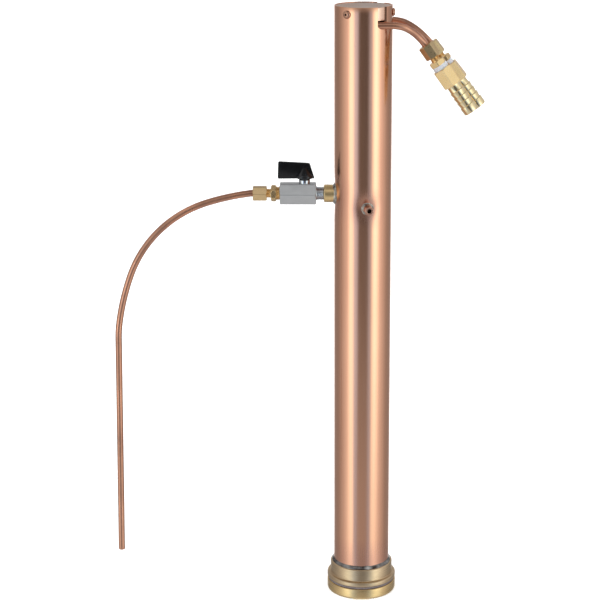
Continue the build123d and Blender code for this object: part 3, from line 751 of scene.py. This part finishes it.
def turned_cap():
    """Plate and skirt of the cap that closes the column."""
    r, low, high = cap_high.x, cap_low.z, cap_high.z
    points = [(0, high - 0.05), (r * 0.5, high - 0.02), (r - 0.5, high), (r, high - 0.4), (r, low + 0.3),
              (r - 0.4, low), (CAP_INNER_R + 0.3, low), (CAP_INNER_R, low + 0.3),
              (CAP_INNER_R, high - CAP_PLATE), (0, high - CAP_PLATE)]
    cap = lathe("turned_cap", eased(points, 0.3, closed=False), closed=False, segments=160)
    dress(cap, "cap", ["top_cap"])


def cap_screws():
    """Button heads with a hexagon socket, seated on the tube."""
    socket_r = 1.95
    head = [(0, 0.4), (1.5, 0.4, 2.0), (1.5, 2.05, 2.0), (1.3, 2.2), (2.6, 2.0), (3.3, 1.45), (3.75, 0.7),
            (3.8, 0.35), (3.65, 0.05), (3.4, -0.1), (2.0, -0.1), (2.0, -7.5), (1.6, -8.0), (0, -8.0)]
    screws = []
    for i, azimuth in enumerate(SCREW_AZIMUTHS):
        a = radians(azimuth)
        out = Vector((sin(a), -cos(a), 0))
        place = axis_place(out * (TUBE_R + 0.05) + Vector((0, 0, SCREW_Z)), out, (0, 0, 1))
        screws.append(lathe(f"screw_{i}", head, place, closed=False, segments=48, turn=17.0 * i))
    seats = [Vector(screw.matrix_world.translation) for screw in screws]
    heads = dress(joined("cap_screw_heads", screws), "screw", ["cap_screws"])
    dress_faces(heads, "socket", lambda c: min((c - seat).length for seat in seats) < socket_r * MM)


def lumpy(scale, amount, seed):
    """Shift function for solder: an uneven edge and surface."""
    def shift(radius, height, angle):
        spot = Vector((cos(angle) * scale, sin(angle) * scale, height * 0.25 + seed))
        out = radius + amount * noise.noise(spot) * 1.5
        return out, height + amount * noise.noise(spot * 1.7 + Vector((9, 0, 0)))
    return shift


def saddle_solder(name, place, stub_r, spread_r, node, seed, dent):
    """Solder ring whose foot follows the column's wall round a stub."""
    loose = lumpy(1.6, 0.35, seed)

    def shift(radius, height, angle):
        out, lift = loose(radius, height, angle) if radius > stub_r else (radius, height)
        across, sink = out * sin(angle), dent[0] * exp(-(out / dent[1]) ** 2)
        return max(out, stub_r - 0.2), sqrt(TUBE_R ** 2 - across ** 2) - sink + lift - 0.2
    outline = [(stub_r - 0.1, -0.6), (spread_r + 0.3, -0.4), (spread_r, 0.25), (spread_r - 0.7, 0.8),
               (stub_r + (spread_r - stub_r) * 0.4, 0.45 * SADDLE_RISE + 0.4),
               (stub_r + 0.35, 0.8 * SADDLE_RISE), (stub_r + 0.1, SADDLE_RISE), (stub_r - 0.1, SADDLE_RISE)]
    piece = lathe(name, eased(outline, 0.35), place, segments=72, shift=shift, sharp=60)
    dress(piece, "tinned", [node])


def thermometer_sleeve():
    """Open sleeve on the front, dark inside, with its ring of solder."""
    place = axis_place((0, 0, PORT_Z), PORT_AXIS, (0, 0, 1))
    r, bore, end = PORT_R, PORT_BORE_R, PORT_END
    points = [(bore, PORT_INNER), (r, PORT_INNER), (r, end - 0.4), (r - 0.3, end), (bore + 0.3, end),
              (bore, end - 0.3)]
    sleeve = lathe("thermometer_sleeve", eased(points, 0.2), place, segments=64)
    dress(sleeve, "port", ["thermometer_port"])
    dress_faces(sleeve, "socket", lambda c: Vector(c[:2]).length < (bore + 0.2) * MM)
    saddle_solder("port_solder_ring", place, PORT_R, PORT_R + 1.9, "port_solder", 3.0, PORT_DENT)


# ========== base ==========
def base_ring():
    """Brass ring with the female thread inside."""
    r = ring_high.x
    ring = [(G2_BORE_R + 0.6, 0), (r - 1.7, 0), (r - 0.5, 0.6), (r, 1.9), (r, gasket_low.z - 0.5),
            (r - 0.5, gasket_low.z), (SPIGOT_R, gasket_low.z), (SPIGOT_R, ring_high.z),
            (G2_BORE_R, ring_high.z)]
    thread = [(G2_BORE_R + (G2_DEPTH if k % 2 else 0.0), G2_TOP - k * G2_PITCH / 2) for k in range(13)]
    piece = lathe("brass_base_ring", eased(ring + thread, 0.28), segments=192)
    dress(piece, "golden", ["base_ring"])


def base_gasket():
    """Rubber gasket between the ring and the collar."""
    r, low, high = gasket_high.x, gasket_low.z, gasket_high.z
    pad = [(SPIGOT_R, low), (r - 0.2, low), (r, low + 0.5), (r, high - 0.5), (r - 0.2, high),
           (SPIGOT_R, high)]
    piece = lathe("rubber_gasket", eased(pad, 0.4), segments=160, shift=lumpy(2.2, 0.02, 1.0))
    dress(piece, "rubber", ["base_gasket"])


def base_collar():
    """Stepped brass collar that holds the tube on an inner ledge."""
    r, low, high = ring_high.x, gasket_high.z, collar_high.z
    step, neck_r, bore_r = COLLAR_STEP, COLLAR_R, COLLAR_BORE_R
    collar = [(SPIGOT_R, low), (r - 0.6, low), (r, low + 0.6), (r, step - 0.8), (r - 0.8, step),
              (neck_r + 0.5, step), (neck_r, step + 0.6), (neck_r, high - 0.8), (neck_r - 0.8, high),
              (bore_r, high), (bore_r, LEDGE_TOP), (LEDGE_R, LEDGE_TOP), (LEDGE_R, COLLAR_FOOT),
              (SPIGOT_R, COLLAR_FOOT)]
    piece = lathe("brass_collar", eased(collar, 0.35), segments=192)
    dress(piece, "antique", ["base_collar"])


def base_solder():
    """Dark bead of solder between the collar and the tube."""
    inner, top = COLLAR_BORE_R - 0.2, collar_high.z
    bead = [(inner, top - 0.4), (COLLAR_R - 1.2, top - 0.2), (COLLAR_R - 1.5, top + 0.7),
            (inner + 1.4, top + 1.3), (inner + 0.6, top + 2.2), (inner + 0.2, top + 2.9),
            (inner, top + 2.9)]
    loose = lumpy(4.0, 0.28, 5.0)
    piece = lathe("base_solder_bead", eased(bead, 0.4), segments=160, sharp=60,
                  shift=lambda r, z, a: loose(r, z, a) if r > inner + 0.15 else (r, z))
    dress(piece, "solder", ["base_solder"])


# ========== valve ==========
def thread_shift(major, depth, pitch, low, high):
    """Helical V thread between two heights, fading at both ends."""
    def shift(radius, height, angle):
        if radius < major - 0.01 or not low <= height <= high:
            return radius, height
        phase = (height / pitch - angle / (2 * pi)) % 1.0
        groove = min(1.0, max(0.0, (abs(phase - 0.5) * 2 - 0.14) / 0.72))
        fade = min(1.0, (height - low) / pitch, (high - height) / pitch)
        return radius - depth * groove * max(0.0, fade), height
    return shift


def valve_boss():
    """Brass boss on the column's wall and the solder round it."""
    ring = [(G14_BORE_R, BOSS_START), (BOSS_R, BOSS_START), (BOSS_R, BOSS_END - 0.5),
            (BOSS_R - 0.5, BOSS_END), (G14_BORE_R, BOSS_END)]
    boss = lathe("brass_boss", eased(ring, 0.35), valve_place())
    dress(boss, "boss", ["valve_boss"])
    saddle_solder("boss_solder_ring", valve_place(), BOSS_R, BOSS_R + 2.2, "boss_solder", 7.0, BOSS_DENT)


def threaded_nipple():
    """Chromed nipple, its thread running from the boss to the valve."""
    plug_end = -nipple_low.x
    rows = [(G14_R, z) for z in spread(NIPPLE_START, NIPPLE_END, 0.13)]
    plug = [(PLUG_R, NIPPLE_END), (PLUG_R, plug_end), (FLOW_R, plug_end), (FLOW_R, NIPPLE_START)]
    nipple = lathe("threaded_nipple", rows + plug, valve_place(), segments=72, sharp=50,
                   shift=thread_shift(G14_R, G14_DEPTH, G14_PITCH, NIPPLE_START, NIPPLE_END))
    dress(nipple, "chrome", ["valve_nipple"])


def valve_hexagon():
    """Hexagonal body with its socket at the outlet and its cavity for the ball."""
    cavity_end = NIPPLE_END + CAVITY_LEN
    bore = [(G14_BORE_R, BODY_END), (G14_BORE_R, BODY_END - 9), (FLOW_R, BODY_END - 10),
            (FLOW_R, cavity_end), (CAVITY_R, cavity_end), (CAVITY_R, NIPPLE_END)]
    outline = eased(hex_span(BODY_AF, NIPPLE_END, BODY_END, 0.5) + bore, 0.25, 2)
    body = lathe("valve_hexagon", outline, valve_place(), turn=30, segments=120)
    dress(body, "nickel", ["valve_body"])


def stem_gland():
    """Chromed gland nut round the stem."""
    low, high, r = gland_low.z, gland_high.z, (gland_high.y - gland_low.y) / 2
    seat = body_high.z - 0.1
    gland = [(GLAND_BORE_R, low), (GLAND_ROOT_R, low), (GLAND_ROOT_R, seat), (r, seat), (r, high - 0.6),
             (r - 0.6, high), (GLAND_BORE_R, high)]
    nut = lathe("stem_gland_nut", eased(gland, 0.3), stem_place(), segments=72)
    dress(nut, "chrome", ["stem_gland"])


def valve_lever():
    """Moulded lever: a domed hub with an upright blade through it."""
    low, high = lever_low.z, lever_high.z
    dome = [(0, 0.2), (6.6, 0), (7.8, 0.6), (8.3, 1.6), (8.2, 2.8), (6.9, 4.6), (5.0, 6.9), (3.2, 9.1),
            (1.9, 10.6), (1.0, 11.2), (0, 11.4)]
    outline = eased([(r, low + z) for r, z in dome], 0.6, closed=False)
    hub = lathe("hub", outline, stem_place(), closed=False, segments=72, sharp=50)
    left, right = lever_low.x, lever_high.x
    corners = [Vector((left, low)), Vector((left + 0.6, high)), Vector((right - 4.6, high - 1.6)),
               Vector((right, low + 0.2))]
    half, corner, edge = 1.8, 1.3, 0.55
    work = bmesh.new()
    front = [work.verts.new((c.x * MM, -half * MM, c.y * MM)) for c in corners]
    back = [work.verts.new((c.x * MM, half * MM, c.y * MM)) for c in corners]
    work.faces.new(front)
    work.faces.new(back[::-1])
    for i in range(4):
        j = (i + 1) % 4
        work.faces.new((front[j], front[i], back[i], back[j]))
    upright = [e for e in work.edges if abs(e.verts[0].co.y - e.verts[1].co.y) > MM]
    bmesh.ops.bevel(work, geom=upright, offset=corner * MM, segments=4, affect="EDGES", profile=0.5)
    rim = [e for e in work.edges if e.calc_face_angle(0) > radians(60)]
    bmesh.ops.bevel(work, geom=rim, offset=edge * MM, segments=3, affect="EDGES", profile=0.5)
    mesh = mesh_of(work, "blade")
    tidy_normals(mesh)
    blade = add_object("blade", mesh)
    dress(joined("moulded_lever", [hub, blade]), "lever", ["valve_lever"], "valve_handle")


# ========== fittings ==========
def compression_nut(node, place, turn):
    """Hexagonal nut, hollow towards the adaptor."""
    hollow = [(NUT_BORE_R, NUT_LEN), (NECK_R + 0.2, NUT_LEN - 0.3), (NECK_R + 0.2, 4.5),
              (PIPE_R + 0.1, 2.5), (PIPE_R + 0.1, 0.0)]
    outline = eased(hex_span(NUT_AF, 0, NUT_LEN) + hollow, 0.22, 2)
    nut = lathe(node + "_brass_nut", outline, place, turn=turn)
    dress(nut, "nut", [node + "_nut"])


def thread_adaptor(node, place, turn):
    """Adaptor: a fine thread under the nut, a hexagon, then its G1/4 thread."""
    end, stop = THREAD_START + ADAPTOR_THREAD, PIPE_IN_FITTING + 0.3
    outline = [(PIPE_R + 0.05, NECK_START), (NECK_R, NECK_START)]
    outline += [(NECK_R, z) for z in spread(NECK_START + 0.5, HEX_START, 0.1)]
    hexagon = [(NECK_R, HEX_START)] + hex_span(ADAPTOR_AF, HEX_START, THREAD_START, 0.9)
    hexagon.append((G14_R - G14_DEPTH, THREAD_START))
    outline += eased(hexagon, 0.2, 2, closed=False)
    outline += [(G14_R, z) for z in spread(THREAD_START + 0.05, end, 0.12)]
    outline += [(ADAPTOR_BORE_R, end), (ADAPTOR_BORE_R, stop), (PIPE_R + 0.05, stop)]
    wide = thread_shift(G14_R, G14_DEPTH, G14_PITCH, THREAD_START - 0.6, end)
    narrow = thread_shift(NECK_R, NECK_DEPTH, NECK_PITCH, NECK_START + 0.4, HEX_START - 0.4)

    def both(radius, height, angle):
        if height < HEX_START - 0.35 and radius < NECK_R + 0.01:
            return narrow(radius, height, angle)
        return wide(radius, height, angle) if height > THREAD_START + 0.02 else (radius, height)
    adaptor = lathe(node + "_brass_adaptor", outline, place, turn=turn, shift=both, sharp=40)
    dress(adaptor, "hex", [node + "_adaptor"])


def tape_wrap(side, place):
    """Tape wound over the thread, its edges ragged and its laps stepped."""
    start, end = THREAD_START - 0.1, TAIL_START + 0.4
    rows = [(G14_R - 0.3, start)] + [(TAPE_R, z) for z in spread(start, end, 0.3)] + [(G14_R - 0.3, end)]

    def shift(radius, height, angle):
        if radius < TAPE_R - 0.1:
            return radius, height
        spot = Vector((cos(angle) * 2.5, sin(angle) * 2.5, height * 0.8 + ord(side)))
        lap = 0.16 * ((height / TAPE_LAP - angle / (2 * pi)) % 1.0)
        return radius - 0.1 + lap + 0.12 * noise.noise(spot * 2), height + 0.25 * noise.noise(spot)
    piece = lathe("tape_wrap_" + side, rows, place, shift=shift, segments=120, sharp=50)
    dress(piece, "tape", ["ptfe_tape_" + side])


def hose_tail(side, place):
    """Female hexagon and a four-ridge barb: satin flats, polished barb."""
    low, high = TAIL_START, TAIL_START + TAIL_LEN
    z = high + BARB_NECK
    barb = [(BARB_NECK_R + 0.3, high), (BARB_NECK_R, high + 0.4), (BARB_NECK_R, z - 0.2)]
    for _ in range(BARB_COUNT - 1):
        barb += [(BARB_R - 0.2, z), (BARB_R, z + 0.25), (BARB_VALLEY_R, z + BARB_PITCH - 0.2)]
        z += BARB_PITCH
    end = z + BARB_TIP
    barb += [(BARB_R - 0.2, z), (BARB_R, z + 0.25), (BARB_R - 0.3, end - 0.5), (BARB_R - 0.7, end)]
    bore = [(TAIL_BORE_R + 0.4, end), (TAIL_BORE_R, end - 0.4), (TAIL_BORE_R, low + 10),
            (G14_BORE_R, low + 9), (G14_BORE_R, low)]
    outline = eased(hex_span(TAIL_AF, low, high) + barb + bore, 0.15, 2)
    piece = lathe("brass_hose_tail_" + side, outline, place, turn=TAIL_TURN[side], segments=120, sharp=20)
    dress(piece, "hex", ["hose_barb_" + side])
    dress_faces(piece, "barb", lambda c: c.z > (high + 0.3) * MM)


def coolant_line(side):
    """One water line: its fitting, tape and hose tail, then the pipe that leads to them."""
    place = coolant_place(side)
    node = "coolant_" + side
    compression_nut(node, place, NUT_TURN[side])
    thread_adaptor(node, place, ADAPTOR_TURN[side])
    tape_wrap(side, place)
    hose_tail(side, place)
    corners, radii = COOLANT_ROUTES[side]
    end = place @ Vector((0, 0, PIPE_IN_FITTING * MM)) / MM
    points = spaced(filleted([Vector(c) for c in corners] + [end], radii))
    dress(sweep_tube("copper_pipe_" + side, points), "pipe", ["coolant_pipe_" + side])


def takeoff_line():
    """The fitting at the valve's outlet and the pipe that bends down from it."""
    compression_nut("takeoff", takeoff_place(), NUT_TURN["takeoff"])
    thread_adaptor("takeoff", takeoff_place(), ADAPTOR_TURN["takeoff"])
    here = Vector((TAKEOFF_FIRST_BEND, 0, VALVE_Z))
    points = [Vector((TAKEOFF_START, 0, VALVE_Z)), here]
    heading = 0.0
    for radius, angle in TAKEOFF_BENDS:
        arc, heading = arc_points(here, heading, radius, angle)
        points += arc
        here = arc[-1]
    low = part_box("takeoff_pipe")[0].z / MM
    along = Vector((-cos(heading), 0, -sin(heading)))
    points.append(here + along * ((here.z - low) / -along.z))
    dress(sweep_tube("copper_takeoff_pipe", spaced(points)), "pipe", ["takeoff_pipe"])


KEPT_LOOKS = {
    "pipe": ("condenser_coil", "lower_slant_plate", "upper_slant_plate"),
    "mesh": ("mesh_packing",),
    "port": ("packing_screen",),
    "tape": ("valve_seats",),
    "chrome": ("valve_ball", "valve_stem"),
    "rubber": ("stem_o_ring",),
    "nut": ("takeoff_olive", "coolant_a_olive", "coolant_b_olive"),
}


def kept_nodes():
    """CAD nodes whose own shape is shown, mostly inside the column and the valve."""
    for look, nodes in KEPT_LOOKS.items():
        for node in nodes:
            mesh = frame["nodes"][node].data
            mesh.materials.clear()
            mesh.materials.append(LOOKS[look])
            smooth(mesh)


# ========== stage and camera ==========
def studio_floor():
    """Pale round floor whose far rim curves up into a backdrop on every side."""
    flat, bend, rise = 9.0, 5.0, 6.0
    line = [(0.0, 0.0), (1.5, 0.0), (4.0, 0.0)]
    line += [(flat + bend * sin(a), bend * (1 - cos(a))) for a in (pi / 2 * k / 12 for k in range(13))]
    line.append((flat + bend, bend + rise))
    floor = lathe("studio_floor", [(r / MM, z / MM) for r, z in line], closed=False, segments=64)
    shade = Shade("pale floor", 0.0, 0.9)
    shade.colour(shade.mix(shade.noise(3.0), (0.90, 0.90, 0.90), (0.88, 0.88, 0.88)))
    shade.shader.inputs["Emission Color"].default_value = (1.0, 1.0, 1.0, 1.0)
    shade.shader.inputs["Emission Strength"].default_value = 0.25
    floor.data.materials.append(shade.material)
    floor.visible_glossy = False


def studio_world():
    """Soft light round the object: two tall banks beside the front with a dark gap between
    them, dimmer near the floor, and a broad soft top light."""
    world = bpy.data.worlds.new("studio")
    bpy.context.scene.world = world
    world.use_nodes = True
    tree = world.node_tree
    tree.nodes.clear()
    add, link = tree.nodes.new, tree.links.new
    coords = add("ShaderNodeTexCoord")
    split = add("ShaderNodeSeparateXYZ")
    link(coords.outputs["Generated"], split.inputs["Vector"])

    front = math_node(tree, "MULTIPLY", split.outputs["Y"], -1.0)
    azimuth = math_node(tree, "ARCTAN2", split.outputs["X"], front)
    around = math_node(tree, "ADD", math_node(tree, "DIVIDE", azimuth, 2 * pi), 0.5)

    def ring_of_light(stops):
        ramp = add("ShaderNodeValToRGB")
        elements = ramp.color_ramp.elements
        elements.remove(elements[-1])
        for i, (angle, level, *tint) in enumerate(stops):
            position = angle / 360 + 0.5
            stop = elements[0] if i == 0 else elements.new(position)
            stop.position = position
            colour = tint[0] if tint else WHITE
            stop.color = (*(level / WORLD_PEAK * c for c in colour), 1.0)
        link(around, ramp.inputs["Fac"])
        return ramp.outputs["Color"]

    def blend(low_z, high_z, first, second):
        span = add("ShaderNodeMapRange")
        span.interpolation_type = "SMOOTHSTEP"
        span.inputs["From Min"].default_value = sin(radians(low_z))
        span.inputs["From Max"].default_value = sin(radians(high_z))
        link(split.outputs["Z"], span.inputs["Value"])
        mix = add("ShaderNodeMix")
        mix.data_type = "RGBA"
        link(span.outputs["Result"], mix.inputs["Factor"])
        link(first, mix.inputs[6])
        link(second, mix.inputs[7])
        return mix.outputs[2]

    light = ring_of_light(FLOOR_LIGHT)
    for low_z, high_z, stops in RISING_LIGHT:
        light = blend(low_z, high_z, light, ring_of_light(stops))
    background = add("ShaderNodeBackground")
    background.inputs["Strength"].default_value = WORLD_PEAK
    link(light, background.inputs["Color"])
    output = add("ShaderNodeOutputWorld")
    link(background.outputs["Background"], output.inputs["Surface"])


# Rings of light as (degrees from the front towards +X, level, tint where it isn't white).
WORLD_PEAK = 2.6
BANK, COOL, WHITE = (0.95, 1.02, 0.98), (0.74, 0.92, 1.22), (1.0, 1.0, 1.0)
FLOOR_LIGHT = ((-179, 0.4), (-60, 0.62), (0, 0.78), (60, 0.7), (179, 0.4))
LOW_LIGHT = (
    (-179, 0.34), (-171, 0.8), (-160, 0.8), (-150, 0.32), (-110, 0.38), (-80, 0.66), (-56, 1.2, BANK),
    (-40, 1.6, BANK), (-32, 0.66, COOL), (-22, 0.6, COOL), (-17, 0.54), (20, 0.52), (24, 0.64, COOL),
    (33, 0.7, COOL), (38, 1.3, BANK), (50, 1.3, BANK), (80, 0.7), (110, 0.38), (150, 0.32), (160, 0.8),
    (171, 0.8), (179, 0.34))
SIDE_LIGHT = (
    (-179, 0.34), (-171, 1.1), (-160, 1.1), (-150, 0.32), (-112, 0.34), (-92, 0.54), (-76, 0.8), (-62, 1.0),
    (-52, 2.2, BANK), (-40, 1.9, BANK), (-34, 1.2, COOL), (-22, 1.0, COOL), (-16, 0.15), (0, 0.14),
    (20, 0.13), (24, 0.62, COOL), (32, 0.68, COOL), (39, 1.35, BANK), (50, 2.5, BANK), (62, 2.0, BANK),
    (73, 1.12), (92, 0.76), (112, 0.44), (140, 0.32), (150, 0.32), (160, 1.1), (171, 1.1), (179, 0.34))
HIGH_LIGHT = (
    (-179, 0.46), (-90, 0.5), (-50, 0.8, BANK), (-20, 0.4), (0, 0.3), (20, 0.4), (40, 0.8, BANK),
    (60, 1.1, BANK), (90, 0.7), (179, 0.46))
TOP_LIGHT = ((-179, 0.6), (-60, 0.9), (0, 1.0), (60, 1.1), (179, 0.6))
ZENITH_LIGHT = ((-179, 0.35), (0, 0.25), (179, 0.35))
# Elevations between which each ring takes over from the one below it.
RISING_LIGHT = ((-50, -30, LOW_LIGHT), (-26, -12, SIDE_LIGHT), (4, 20, HIGH_LIGHT), (34, 44, TOP_LIGHT),
                (48, 60, ZENITH_LIGHT))


def soft_sun():
    """Very broad light from above the camera, seen only by matt surfaces."""
    light = bpy.data.lights.new("soft_sun", "SUN")
    light.energy, light.angle = 2.2, radians(80)
    lamp = linked("soft_sun", light)
    lamp.rotation_euler = (radians(22), radians(-8), 0)
    lamp.visible_glossy = False


def studio_camera():
    """Camera a little above the cap's height, looking down along +Y."""
    place = Vector((-0.011, -1.6714, 0.7659))
    yaw, pitch, roll = radians(1.67), radians(15.66), radians(-0.316)
    forward = Vector((-sin(yaw) * cos(pitch), cos(yaw) * cos(pitch), -sin(pitch)))
    right = Vector((cos(yaw), sin(yaw), 0))
    up = right.cross(forward)
    right, up = right * cos(roll) + up * sin(roll), up * cos(roll) - right * sin(roll)
    data = bpy.data.cameras.new("camera")
    data.lens, data.sensor_width = 108.6, 36.0
    camera = linked("camera", data)
    camera.matrix_world = Matrix.Translation(place) @ Matrix((right, up, -forward)).transposed().to_4x4()
    bpy.context.scene.camera = camera


def main():
    studio_camera()
    copper_column()
    turned_cap()
    cap_screws()
    thermometer_sleeve()
    base_ring()
    base_gasket()
    base_collar()
    base_solder()
    valve_boss()
    threaded_nipple()
    valve_hexagon()
    stem_gland()
    valve_lever()
    takeoff_line()
    for side in COOLANT_ROUTES:
        coolant_line(side)
    kept_nodes()
    studio_floor()
    studio_world()
    soft_sun()
    bpy.context.scene.view_settings.view_transform = "Standard"


main()
